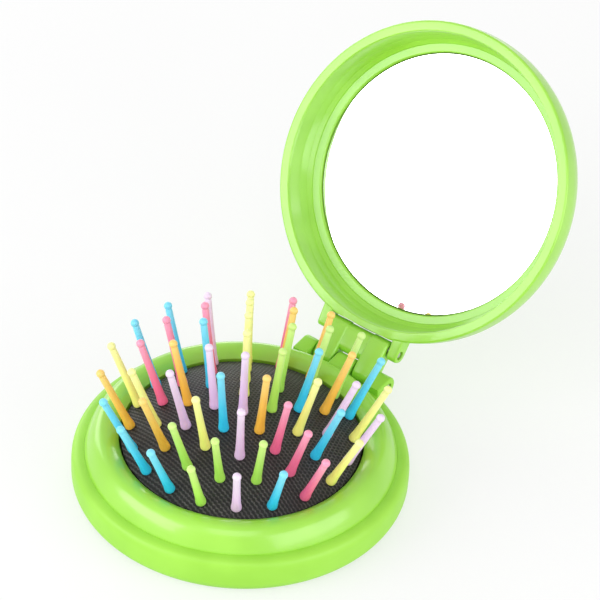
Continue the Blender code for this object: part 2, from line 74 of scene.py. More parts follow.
Arrays = Tuple[np.ndarray, List[List[int]], np.ndarray]
Level = Union["Signal", float]
Material = bpy.types.Material
Piece = bpy.types.Object

PLAN_WIDTH = 0.06
HAIRLINE = 0.00001
ON_AXIS = 1e-9
SHARP_ANGLE = 32.0


class Joining(Enum):
    """How one solid is combined with another."""

    UNION = "UNION"
    DIFFERENCE = "DIFFERENCE"


class BristleTone(Enum):
    """The colours of the bristles: near the foot, and at the tip, where a paler tone is painted for
    the light that falls on the tips.
    """

    ORANGE = ((1.00, 0.52, 0.060), (0.93, 0.62, 0.17))
    YELLOW = ((1.00, 0.99, 0.24), (0.90, 0.91, 0.36))
    PINK = ((1.00, 0.16, 0.34), (0.90, 0.33, 0.48))
    BLUE = ((0.035, 0.63, 1.00), (0.20, 0.68, 0.88))
    LILAC = ((0.92, 0.61, 0.97), (0.81, 0.66, 0.85))
    GREEN = ((0.47, 0.88, 0.12), (0.57, 0.81, 0.22))
    LIME = ((0.54, 0.88, 0.17), (0.61, 0.84, 0.27))


class Signal:
    """A shader socket that takes part in Python arithmetic; each operator adds a Math node."""

    def __init__(self, graph: "Graph", socket: bpy.types.NodeSocket) -> None:
        """Wrap a socket of a graph."""
        self.graph = graph
        self.socket = socket

    def _math(self, operation: str, *others: Level, flip: bool = False) -> "Signal":
        """Add a Math node for an operation on this signal and others.

        Args:
            operation: The node's operation.
            others: The other values.
            flip: Whether the values go in the other way round.

        Returns:
            The node's result.
        """
        values: List[Level] = [self, *others]
        if flip:
            values.reverse()
        node = self.graph.node("ShaderNodeMath", {"operation": operation},
                               dict(enumerate(values)))
        return Signal(self.graph, node.outputs[0])

    def __add__(self, other: Level) -> "Signal":
        """Sum."""
        return self._math("ADD", other)

    __radd__ = __add__

    def __sub__(self, other: Level) -> "Signal":
        """Difference."""
        return self._math("SUBTRACT", other)

    def __rsub__(self, other: float) -> "Signal":
        """Difference with a number first."""
        return self._math("SUBTRACT", other, flip=True)

    def __mul__(self, other: Level) -> "Signal":
        """Product."""
        return self._math("MULTIPLY", other)

    __rmul__ = __mul__

    def cosine(self) -> "Signal":
        """Cosine of a signal in radians."""
        return self._math("COSINE")

    def lowest(self, other: Level) -> "Signal":
        """The smaller of two signals."""
        return self._math("MINIMUM", other)

    def highest(self, other: Level) -> "Signal":
        """The larger of two signals."""
        return self._math("MAXIMUM", other)

    def clamped(self) -> "Signal":
        """The signal kept between 0 and 1."""
        return self.highest(0.0).lowest(1.0)

    def swing(self, width: float) -> "Signal":
        """The way of a noise off its middle, 0.5, times a width."""
        return (self - 0.5) * width

    def lifted(self, floor: float) -> "Signal":
        """The signal with its 0 drawn up to a floor and its 1 kept."""
        return floor + (1.0 - floor) * self

    def step(self, low: float, high: float) -> "Signal":
        """A smooth step from 0 at low to 1 at high.

        Args:
            low: The value at which the step starts.
            high: The value at which it ends. It may be below low, for a falling step.

        Returns:
            The share t * t * (3 - 2 * t) of the clamped way t between low and high.
        """
        way = ((self - low) * (1.0 / (high - low))).clamped()
        return way * way * (3.0 - 2.0 * way)


class Graph:
    """The node tree of one material. Everything but arithmetic goes through its node method."""

    def __init__(self, name: str) -> None:
        """Start a material that holds only its Principled shader and output.

        Args:
            name: The material's name.
        """
        self.material = bpy.data.materials.new(name)
        self.material.use_nodes = True
        self.tree = self.material.node_tree
        self.shader = self.tree.nodes["Principled BSDF"]
        self.output = self.tree.nodes["Material Output"]

    def node(self, kind: str, settings: Optional[dict] = None,
             inputs: Optional[dict] = None) -> bpy.types.Node:
        """Add a node.

        Args:
            kind: The node's type.
            settings: Properties to set first.
            inputs: Values or signals by socket name or number.

        Returns:
            The node.
        """
        node = self.tree.nodes.new(kind)
        for key, value in (settings or {}).items():
            setattr(node, key, value)
        self.feed(node, inputs or {})
        return node

    def feed(self, node: bpy.types.Node, inputs: dict) -> None:
        """Set or link a node's sockets.

        Args:
            node: The node.
            inputs: Values or signals by socket name or number.
        """
        for key, value in inputs.items():
            socket = node.inputs[key]
            if isinstance(value, Signal):
                self.tree.links.new(value.socket, socket)
            elif isinstance(value, bpy.types.NodeSocket):
                self.tree.links.new(value, socket)
            else:
                socket.default_value = (*value, 1.0) if is_colour(socket, value) else value

    def signal(self, kind: str, output: Union[str, int], settings: Optional[dict] = None,
               inputs: Optional[dict] = None) -> Signal:
        """Add a node and wrap one of its outputs."""
        return Signal(self, self.node(kind, settings, inputs).outputs[output])

    def place(self, stretch: Sequence[float] = (1.0, 1.0, 1.0)) -> Signal:
        """Object coordinates in metres, stretched along each axis."""
        coordinates = self.signal("ShaderNodeTexCoord", "Object")
        return self.signal("ShaderNodeMapping", 0, inputs={"Vector": coordinates, "Scale": stretch})

    def chart(self, name: str) -> Tuple[Signal, Signal]:
        """The two coordinates of a piece's own UV map.

        Args:
            name: The map's name.

        Returns:
            Its first and second coordinate.
        """
        flat = self.signal("ShaderNodeUVMap", 0, {"uv_map": name})
        parts = self.node("ShaderNodeSeparateXYZ", inputs={0: flat})
        return Signal(self, parts.outputs[0]), Signal(self, parts.outputs[1])

    def noise(self, scale: float, detail: float = 2.0,
              stretch: Sequence[float] = (1.0, 1.0, 1.0)) -> Signal:
        """Noise on Object coordinates, with scale features to the metre."""
        return self.signal("ShaderNodeTexNoise", "Fac",
                           inputs={"Vector": self.place(stretch), "Scale": scale, "Detail": detail})

    def blend(self, share: Signal, first: Colour, second: Colour) -> Signal:
        """Mix two colours by a share."""
        return self.signal("ShaderNodeMix", 2, {"data_type": "RGBA"},
                           {0: share, 6: first, 7: second})

    def bump(self, height: Signal, depth: float) -> Signal:
        """Turn a height between 0 and 1 into a normal, at a depth in metres."""
        return self.signal("ShaderNodeBump", 0,
                           inputs={"Height": height, "Distance": depth, "Strength": 1.0})

    def surface(self, inputs: dict) -> Material:
        """Feed the Principled shader and return the material."""
        self.feed(self.shader, inputs)
        return self.material


def is_colour(socket: bpy.types.NodeSocket, value: object) -> bool:
    """Tell whether a socket wants four numbers where three are given."""
    return socket.type == "RGBA" and isinstance(value, (tuple, list)) and len(value) == 3


class Gloss(Enum):
    """How the green plastic shines: its finish's name, lowest roughness and clear coat.

    Where a roughness crosses about 0.27 the denoised render shows hard patches, so both stay
    above that.
    """

    GLOSSY = ("green_plastic_looks", 0.285, 0.45)
    SATIN = ("satin_green_looks", 0.44, 0.0)


@dataclass(frozen=True)
class GreenPlastic:
    """Moulded plastic: slow drifts of tint, fine orange peel and a few dull rubs."""

    gloss: Gloss
    tint: Colour = (0.33, 0.69, 0.060)
    shade: Colour = (0.29, 0.63, 0.045)
    drift_scale: float = 70.0
    drift_span: Pair = (0.35, 0.65)
    drift_dulling: float = 0.02
    rub_scale: float = 260.0
    rub_detail: float = 4.0
    rub_stretch: Triple = (1.0, 0.35, 1.0)
    rub_span: Pair = (0.52, 0.72)
    rub_dulling: float = 0.03
    peel_scale: float = 1400.0
    peel_depth: float = 0.000004
    refraction: float = 1.49
    coat_roughness: float = 0.12

    def material(self) -> Material:
        """Build the finish.

        Returns:
            The material.
        """
        name, roughness, coat = self.gloss.value
        graph = Graph(name)
        drift = graph.noise(self.drift_scale).step(*self.drift_span)
        rubs = graph.noise(self.rub_scale, self.rub_detail, self.rub_stretch).step(*self.rub_span)
        peel = graph.noise(self.peel_scale)
        return graph.surface({
            "Base Color": graph.blend(drift, self.shade, self.tint),
            "Roughness": roughness + self.rub_dulling * rubs + self.drift_dulling * drift,
            "Normal": graph.bump(peel, self.peel_depth),
            "IOR": self.refraction,
            "Coat Weight": coat,
            "Coat Roughness": self.coat_roughness,
        })


@dataclass(frozen=True)
class NetRubber:
    """Black rubber faced with a knitted net: grey threads round rows of dark eyes, with painted
    glints and painted sheen on the threads.
    """

    rubber: Colour = (0.0045, 0.0040, 0.0038)
    thread: Colour = (0.105, 0.096, 0.093)
    pitch: float = 0.00090
    angles: Triple = (79.0, 19.0, 139.0)
    lattice_angle: float = 30.0
    slack: float = 0.012
    slack_scale: float = 90.0
    front_span: Pair = (0.62, 0.30)
    row_weight: float = 1.05
    row_gain: float = 0.55
    side_weight: float = 0.97
    side_loss: float = 0.27
    net_low: float = -1.5
    net_high: float = 3.0
    thread_span: Pair = (0.34, 0.12)
    glint_scale: float = 2600.0
    glint_span: Pair = (0.40, 0.75)
    glint_floor: float = 0.30
    glint_relief: float = 0.2
    sheen_scale: float = 55.0
    sheen_span: Pair = (0.30, 0.70)
    sheen_floor: float = 0.45
    roughness: float = 0.72
    thread_shine: float = 0.22
    refraction: float = 1.45
    relief: float = 0.00006

    def material(self) -> Material:
        """Build the finish.

        Three cosines at 60 degrees to each other peak together at the eyes of the net. Towards
        the front the first one weighs more and draws the eyes out into rows.

        Returns:
            The material.
        """
        graph = Graph("net_rubber_looks")
        across, along = graph.chart("plan")
        wobble = graph.noise(self.slack_scale).swing(self.slack)
        slant = math.cos(math.radians(self.lattice_angle))
        turns = 2.0 * math.pi * PLAN_WIDTH / self.pitch / slant
        first, second, third = (
            ((across + wobble) * (turns * math.cos(math.radians(angle)))
             + (along + wobble) * (turns * math.sin(math.radians(angle)))).cosine()
            for angle in self.angles)
        front = along.step(*self.front_span)
        net = ((self.row_weight + self.row_gain * front) * first
               + (self.side_weight - self.side_loss * front) * (second + third))
        share = (net - self.net_low) * (1.0 / (self.net_high - self.net_low))
        threads = share.step(*self.thread_span)
        # The thread colour carries painted light: fine painted glints, and broad patches of painted
        # sheen where the net looks pale.
        glint = graph.noise(self.glint_scale).step(*self.glint_span)
        painted_sheen = graph.noise(self.sheen_scale).step(*self.sheen_span)
        tone = threads * glint.lifted(self.glint_floor) * painted_sheen.lifted(self.sheen_floor)
        return graph.surface({
            "Base Color": graph.blend(tone, self.rubber, self.thread),
            "Roughness": self.roughness - self.thread_shine * threads,
            "Normal": graph.bump(threads + self.glint_relief * glint, self.relief),
            "IOR": self.refraction,
        })


@dataclass(frozen=True)
class BristleNylon:
    """Coloured nylon: full colour at the foot, painted paler towards the tip as painted light on
    the tips, with faint draw lines.
    """

    tone: BristleTone
    tip_light_span: Pair = (0.15, 1.0)
    cloud_scale: float = 420.0
    cloud_share: float = 0.25
    line_scale: float = 900.0
    line_stretch: Triple = (1.0, 1.0, 0.12)
    line_depth: float = 0.00001
    line_dulling: float = 0.10
    roughness: float = 0.34
    refraction: float = 1.53
    scatter_weight: float = 0.12
    scatter_reach: Triple = (0.0006, 0.0006, 0.0006)

    def material(self) -> Material:
        """Build the finish.

        Returns:
            The material.
        """
        graph = Graph(f"bristle_{self.tone.name.lower()}_looks")
        _, height = graph.chart("chart")
        foot, tip = self.tone.value
        cloud = graph.noise(self.cloud_scale)
        lines = graph.noise(self.line_scale, stretch=self.line_stretch)
        # The tips are painted paler, a painted highlight where the light falls on them, stirred by
        # a random cloud.
        painted_tip_light = (height.step(*self.tip_light_span) + cloud.swing(self.cloud_share)).clamped()
        return graph.surface({
            "Base Color": graph.blend(painted_tip_light, foot, tip),
            "Roughness": self.roughness + self.line_dulling * lines,
            "Normal": graph.bump(lines, self.line_depth),
            "IOR": self.refraction,
            "Subsurface Weight": self.scatter_weight,
            "Subsurface Radius": self.scatter_reach,
            "Subsurface Scale": 1.0,
        })


@dataclass(frozen=True)
class DrawnSteel:
    """Drawn wire for the hinge pins, with fine lines along it and a little tarnish."""

    bright: Colour = (0.62, 0.61, 0.59)
    tarnish: Colour = (0.36, 0.33, 0.29)
    line_scale: float = 5200.0
    line_stretch: Triple = (0.03, 1.0, 1.0)
    line_share: float = 0.1
    line_dulling: float = 0.15
    line_depth: float = 0.000004
    stain_scale: float = 500.0
    stain_detail: float = 3.0
    stain_span: Pair = (0.5, 0.8)
    stain_share: float = 0.5
    stain_dulling: float = 0.15
    roughness: float = 0.25

    def material(self) -> Material:
        """Build the finish.

        Returns:
            The material.
        """
        graph = Graph("drawn_steel_looks")
        lines = graph.noise(self.line_scale, stretch=self.line_stretch)
        stain = graph.noise(self.stain_scale, self.stain_detail).step(*self.stain_span)
        share = self.stain_share * stain + self.line_share * lines
        return graph.surface({
            "Base Color": graph.blend(share, self.bright, self.tarnish),
            "Roughness": self.roughness + self.line_dulling * lines + self.stain_dulling * stain,
            "Normal": graph.bump(lines, self.line_depth),
            "Metallic": 1.0,
        })


@dataclass(frozen=True)
class SilveredGlass:
    """The mirror: bright silver with faint wipe marks and a painted olive shadow line round its
    edge, where the gap to the lid falls dark.
    """

    middle: Vector
    radius: float
    silver: Colour = (0.965, 0.975, 0.972)
    # edge is the colour of the painted shadow line round the glass, not a colour of the glass
    # itself.
    edge: Colour = (0.42, 0.50, 0.24)
    edge_shade_start: float = 0.00022
    edge_shade_full: float = 0.00012
    edge_shade_dulling: float = 0.2
    wipe_scale: float = 120.0
    wipe_detail: float = 4.0
    wipe_stretch: Triple = (1.0, 0.25, 0.25)
    wipe_span: Pair = (0.5, 0.9)
    wipe_dulling: float = 0.03
    roughness: float = 0.015

    def material(self) -> Material:
        """Build the finish. The painted shadow line at the edge is found by the distance from the
        mirror's middle.

        Returns:
            The material.
        """
        graph = Graph("silvered_glass_looks")
        spot = graph.signal("ShaderNodeVectorMath", 0, {"operation": "SUBTRACT"},
                            {0: graph.place(), 1: tuple(self.middle)})
        reach = graph.signal("ShaderNodeVectorMath", "Value", {"operation": "LENGTH"}, {0: spot})
        # rim is the share of the painted shadow line: 0 inside it and 1 at the glass's edge.
        rim = reach.step(self.radius - self.edge_shade_start, self.radius - self.edge_shade_full)
        wipes = graph.noise(self.wipe_scale, self.wipe_detail, self.wipe_stretch)
        wipes = wipes.step(*self.wipe_span)
        return graph.surface({
            "Base Color": graph.blend(rim, self.silver, self.edge),
            "Roughness": self.roughness + self.wipe_dulling * wipes + self.edge_shade_dulling * rim,
            "Metallic": 1.0,
        })


@dataclass(frozen=True)
class PaleFloor:
    """A white sweep that the camera and reflections see nearly white, with a faint shadow."""

    albedo: float = 0.92
    grain_scale: float = 40.0
    grain_share: float = 0.01
    roughness: float = 0.9
    glow: float = 0.62
    reflected: float = 0.35

    def material(self) -> Material:
        """Build the finish: paper that mixes with plain white for camera and reflected rays.

        Returns:
            The material.
        """
        graph = Graph("pale_floor_looks")
        grain = graph.noise(self.grain_scale)
        level = self.albedo + self.grain_share * grain
        paper = graph.signal("ShaderNodeCombineColor", 0, inputs={0: level, 1: level, 2: level})
        graph.surface({"Base Color": paper, "Roughness": self.roughness,
                       "Specular IOR Level": 0.0})
        path = graph.node("ShaderNodeLightPath")
        seen = Signal(graph, path.outputs["Is Camera Ray"])
        shone = Signal(graph, path.outputs["Is Glossy Ray"])
        passed = Signal(graph, path.outputs["Is Transmission Ray"])
        white = graph.node("ShaderNodeEmission",
                           inputs={"Color": (1.0, 1.0, 1.0), "Strength": 1.0})
        share = (seen + self.reflected * shone + passed).lowest(1.0) * self.glow
        mixed = graph.node("ShaderNodeMixShader",
                           inputs={0: share, 1: graph.shader.outputs[0], 2: white.outputs[0]})
        graph.feed(graph.output, {"Surface": mixed.outputs[0]})
        return graph.material


def object_from_arrays(name: str, points: np.ndarray, faces: Sequence[Sequence[int]],
                       chart: Optional[np.ndarray] = None,
                       chart_name: str = "chart") -> Piece:
    """Make an object from a table of points and a list of faces.

    Args:
        name: The piece's name.
        points: Positions, one row each.
        faces: Corner numbers of each face, anticlockwise from outside.
        chart: Optional place of each point in a UV map.
        chart_name: The UV map's name.

    Returns:
        The object, smooth shaded and linked to the scene.
    """
    mesh = bpy.data.meshes.new(name)
    mesh.from_pydata(points.tolist(), [], faces)
    if chart is not None:
        corners = np.empty(len(mesh.loops), dtype=np.int32)
        mesh.loops.foreach_get("vertex_index", corners)
        layer = mesh.uv_layers.new(name=chart_name)
        layer.data.foreach_set("uv", chart[corners].astype(np.float32).ravel())
    mesh.update()
    piece = bpy.data.objects.new(name, mesh)
    bpy.context.scene.collection.objects.link(piece)
    smooth(piece)
    return piece


def smooth(piece: Piece) -> None:
    """Smooth a piece's faces except across its sharp edges."""
    piece.data.shade_smooth()
    piece.data.set_sharp_from_angle(angle=math.radians(SHARP_ANGLE))


def turned_arrays(profile: np.ndarray, steps: int) -> Arrays:
    """A profile turned about Z: point (i, j) is the profile's point i at the angle j / steps.

    Args:
        profile: Rows of (radius, height). It starts and ends on the axis, or is a closed loop
            whose last row joins the first. It runs down the outer side.
        steps: Points round the axis.

    Returns:
        Points, faces and their chart (share round, share of the way along the profile).
    """
    angles = np.arange(steps) * (2.0 * math.pi / steps)
    radius, height = profile[:, 0], profile[:, 1]
    grid = np.stack((np.outer(radius, np.cos(angles)), np.outer(radius, np.sin(angles)),
                     np.outer(height, np.ones(steps))), axis=-1)
    lengths = np.concatenate(([0.0], np.cumsum(np.hypot(np.diff(radius), np.diff(height)))))
    share = lengths / lengths[-1]
    chart = np.stack(np.meshgrid(angles / (2.0 * math.pi), share), axis=-1).reshape(-1, 2)
    poles = radius[0] < ON_AXIS and radius[-1] < ON_AXIS
    rows = len(profile)
    row, column = np.meshgrid(np.arange(rows - 1 if poles else rows), np.arange(steps),
                              indexing="ij")
    after = (row + 1) % rows
    beside = (column + 1) % steps
    quads = np.stack((row * steps + column, after * steps + column,
                      after * steps + beside, row * steps + beside), axis=-1)
    if not poles:
        return grid.reshape(-1, 3), quads.reshape(-1, 4).tolist(), chart
    points = np.concatenate((grid[1:-1].reshape(-1, 3), grid[:1, 0], grid[-1:, 0]))
    chart = np.concatenate((chart[steps:-steps], chart[:1], chart[-1:]))
    first, last = len(points) - 2, len(points) - 1
    middle = quads[1:-1].reshape(-1, 4) - steps
    top = np.stack((np.full(steps, first), quads[0, :, 1] - steps, quads[0, :, 2] - steps),
                   axis=-1)
    foot = np.stack((quads[-1, :, 0] - steps, np.full(steps, last), quads[-1, :, 3] - steps),
                    axis=-1)
    return points, middle.tolist() + top.tolist() + foot.tolist(), chart


def turned(name: str, profile: np.ndarray, steps: int) -> Piece:
    """A profile turned about Z, as a piece."""
    points, faces, chart = turned_arrays(profile, steps)
    return object_from_arrays(name, points, faces, chart)


def filleted(corners: Sequence[Corner], count: int) -> np.ndarray:
    """A chain of corners in a plane, each but the two ends rounded by its own radius.

    Args:
        corners: Rows of (first coordinate, second coordinate, radius of the rounding).
        count: Chords in each rounding.

    Returns:
        Rows of points. Each rounding is the arc that touches both sides of its corner.
    """
    table = np.array(corners, dtype=float)
    rows: List[np.ndarray] = []
    for i, (x, y, radius) in enumerate(table):
        here = np.array((x, y))
        if radius <= 0.0 or i in (0, len(table) - 1):
            rows.append(here[None])
            continue
        before = table[i - 1, :2] - here
        after = table[i + 1, :2] - here
        before /= np.linalg.norm(before)
        after /= np.linalg.norm(after)
        half = math.acos(float(np.clip(before @ after, -1.0, 1.0))) / 2.0
        bisector = before + after
        bisector /= np.linalg.norm(bisector)
        centre = here + bisector * radius / math.sin(half)
        start = here + before * radius / math.tan(half) - centre
        end = here + after * radius / math.tan(half) - centre
        sweep = math.atan2(start[0] * end[1] - start[1] * end[0], float(start @ end))
        turn = np.linspace(0.0, sweep, count + 1)
        rows.append(centre + np.stack((start[0] * np.cos(turn) - start[1] * np.sin(turn),
                                       start[0] * np.sin(turn) + start[1] * np.cos(turn)), axis=-1))
    return np.concatenate(rows)


def ellipse(centre: Sequence[float], across: float, up: float, start: float, end: float,
            count: int) -> np.ndarray:
    """Points of an ellipse: centre + (across * cos t, up * sin t), t from start to end degrees."""
    turn = np.radians(np.linspace(start, end, count + 1))
    return np.stack((centre[0] + across * np.cos(turn), centre[1] + up * np.sin(turn)), axis=-1)


def squarish(centre: Sequence[float], across: float, up: float, start: float, power: float,
             count: int) -> np.ndarray:
    """A quarter of a squared ellipse, from a share of its width at the top round to its side.

    Args:
        centre: Its middle.
        across: Half its width.
        up: Half its height.
        start: The share of the width where it begins.
        power: The exponent of the curve: (x / across) ** power + (y / up) ** power = 1.
        count: Chords.

    Returns:
        Rows of points, downwards and outwards.
    """
    first = math.acos(start ** (power / 2.0))
    turn = np.linspace(first, 0.0, count + 1)
    return np.stack((centre[0] + across * np.cos(turn) ** (2.0 / power),
                     centre[1] + up * np.sin(turn) ** (2.0 / power)), axis=-1)


def capsule(first: Sequence[float], second: Sequence[float], radius: float,
            second_radius: float, count: int = 20) -> np.ndarray:
    """Outline of a tapering bar: an arc about each end and the lines that touch both.

    Args:
        first: The middle of one end.
        second: The middle of the other end.
        radius: Radius of the first end.
        second_radius: Radius of the second end.
        count: Chords in each arc.

    Returns:
        Rows of points, anticlockwise.
    """
    way = np.array(second) - np.array(first)
    along = math.degrees(math.atan2(way[1], way[0]))
    side = 90.0 - math.degrees(math.asin((radius - second_radius) / float(np.hypot(*way))))
    return np.concatenate((
        ellipse(second, second_radius, second_radius, along - side, along + side, count),
        ellipse(first, radius, radius, along + side, along + 360.0 - side, count)))


def rounded_plate(name: str, outline: np.ndarray, low: float, high: float, edge: float,
                  rows: int = 5) -> Piece:
    """A plate across X whose outline in (y, z) draws in round both faces.

    Row k of each edge lies at edge * (1 - cos t) from its face, and its outline is drawn in
    along its own normals by edge * (1 - sin t), with t from 0 to 90 degrees.

    Args:
        name: The piece's name.
        outline: Rows of (y, z), anticlockwise seen from +X.
        low: X of one face.
        high: X of the other face.
        edge: Radius of the rounded edges.
        rows: Chords in each rounded edge.

    Returns:
        The closed plate.
    """
    ahead = np.roll(outline, -1, axis=0) - outline
    behind = outline - np.roll(outline, 1, axis=0)
    ahead /= np.linalg.norm(ahead, axis=1, keepdims=True)
    behind /= np.linalg.norm(behind, axis=1, keepdims=True)
    along = ahead + behind
    along /= np.linalg.norm(along, axis=1, keepdims=True)
    inward = np.stack((-along[:, 1], along[:, 0]), axis=-1)
    turn = np.linspace(0.0, math.pi / 2.0, rows + 1)
    rise, draw = edge * (1.0 - np.cos(turn)), edge * (1.0 - np.sin(turn))
    stations = np.concatenate((low + rise, high - rise[::-1]))
    drawn = np.concatenate((draw, draw[::-1]))
    flat = outline[None] + inward[None] * drawn[:, None, None]
    x = np.broadcast_to(stations[:, None, None], (*flat.shape[:2], 1))
    points = np.concatenate((x, flat), axis=-1).reshape(-1, 3)
    count, bands = len(outline), len(stations)
    row, column = np.meshgrid(np.arange(bands - 1), np.arange(count), indexing="ij")
    beside = (column + 1) % count
    quads = np.stack((row * count + column, row * count + beside,
                      (row + 1) * count + beside, (row + 1) * count + column), axis=-1)
    faces = quads.reshape(-1, 4).tolist()
    faces.append(list(range(count))[::-1])
    faces.append([(bands - 1) * count + i for i in range(count)])
    return object_from_arrays(name, points, faces)


def turned_bar(name: str, radius: float, half: float, centre: Sequence[float], edge: float,
               steps: int, rows: int = 4) -> Piece:
    """A round bar along X: a profile turned about Z and laid on its side.

    Args:
        name: The piece's name.
        radius: Its radius.
        half: Half its length, on either side of X = 0.
        centre: Where its axis is in (y, z).
        edge: Radius of its rounded ends, or 0 for flat ones.
        steps: Points round it.
        rows: Chords in each rounded end.

    Returns:
        The bar.
    """
    if edge > 0.0:
        profile = np.concatenate((
            [(0.0, half)], ellipse((radius - edge, half - edge), edge, edge, 90.0, 0.0, rows),
            ellipse((radius - edge, edge - half), edge, edge, 0.0, -90.0, rows), [(0.0, -half)]))
    else:
        profile = np.array([(0.0, half), (radius, half), (radius, -half), (0.0, -half)])
    bar = turned(name, profile, steps)
    bar.data.transform(Matrix.Translation((0.0, *centre)) @ Matrix.Rotation(math.pi / 2.0, 4, "Y"))
    return bar


def combine(piece: Piece, tool: Piece, joining: Joining) -> None:
    """Join or cut a piece with a tool, keep the resulting mesh and drop the tool.

    Args:
        piece: The piece that is changed.
        tool: The piece that is joined or cuts.
        joining: Which of the two it does.
    """
    step = piece.modifiers.new("joining", "BOOLEAN")
    step.operation = joining.value
    step.solver = "EXACT"
    step.object = tool
    bpy.context.view_layer.update()
    joined = piece.evaluated_get(bpy.context.evaluated_depsgraph_get())
    made = bpy.data.meshes.new_from_object(joined)
    piece.modifiers.clear()
    piece.data = made
    bpy.data.objects.remove(tool, do_unlink=True)


def cut_round(piece: Piece, radius: float, half: float, centre: Sequence[float],
              steps: int) -> None:
    """Cut a round way along X through a piece, half long on either side of X = 0."""
    combine(piece, turned_bar("cutter", radius, half, centre, 0.0, steps), Joining.DIFFERENCE)


@dataclass(frozen=True)
class Stance:
    """How the comb stands open: the place of its base and the turn of its link and lid."""

    base_shift: float
    pivot_reach: float = 0.0359
    lower_height: float = 0.0084
    link_length: float = 0.0071
    lid_pivot_depth: float = 0.0015
    link_open: float = 43.5
    lid_open: float = 121.6

    @property
    def lower(self) -> Pair:
        """The lower pin's place (y, z) in the shut comb."""
        return self.pivot_reach, self.lower_height

    @property
    def upper(self) -> Pair:
        """The upper pin's place (y, z) in the shut comb."""
        return self.pivot_reach, self.lower_height + self.link_length

    @property
    def rim_height(self) -> float:
        """Height of the lid's rim over the table in the shut comb."""
        return self.upper[1] - self.lid_pivot_depth

    def base(self) -> Matrix:
        """From the shut comb centred on its base to the standing base."""
        return Matrix.Translation((0.0, self.base_shift, 0.0))

    def link(self) -> Matrix:
        """Turn the link about the lower pin.

        Returns:
            From the shut link to the open one.
        """
        pivot = Vector((0.0, *self.lower))
        turn = Matrix.Rotation(-math.radians(self.link_open), 4, "X")
        return self.base() @ Matrix.Translation(pivot) @ turn @ Matrix.Translation(-pivot)

    def lid(self) -> Matrix:
        """Turn the lid about the upper pin on the open link.

        Returns:
            From the shut lid to the open one.
        """
        pivot = Vector((0.0, *self.upper))
        turn = Matrix.Rotation(-math.radians(self.lid_open - self.link_open), 4, "X")
        return self.link() @ Matrix.Translation(pivot) @ turn @ Matrix.Translation(-pivot)


@dataclass
class HingeSizes:
    """Sizes that the tray, the lid and the link share at the two pins."""

    running_gap: float = 0.00035
    ear_radius: float = 0.0022
    lid_ear_radius: float = 0.0018
    ear_sink: float = 0.0003
    lower_radius: float = 0.0021
    upper_radius: float = 0.0019
    web_radius: float = 0.0017
    web_top_radius: float = 0.0017
    web_gap: float = 0.00015
    arm_edge: float = 0.00055
    ear_inner: float = 0.0080
    ear_outer: float = 0.0115
    lid_ear_outer: float = 0.0105
    knuckle_half: float = 0.0025
    pin_radius: float = 0.0007
    hole_gap: float = 0.0003
    overlap: float = 0.0003
    edge: float = 0.00040
    notch_steps: int = 48
    hole_steps: int = 32

    def notch(self, piece: Piece, radius: float, pin: Pair) -> None:
        """Free the link's way round a pin."""
        cut_round(piece, radius + self.running_gap, self.ear_inner, pin, self.notch_steps)

    def drill(self, piece: Piece, half: float, pin: Pair) -> None:
        """Drill the hole for a pin."""
        cut_round(piece, self.pin_radius + self.hole_gap, half, pin, self.hole_steps)


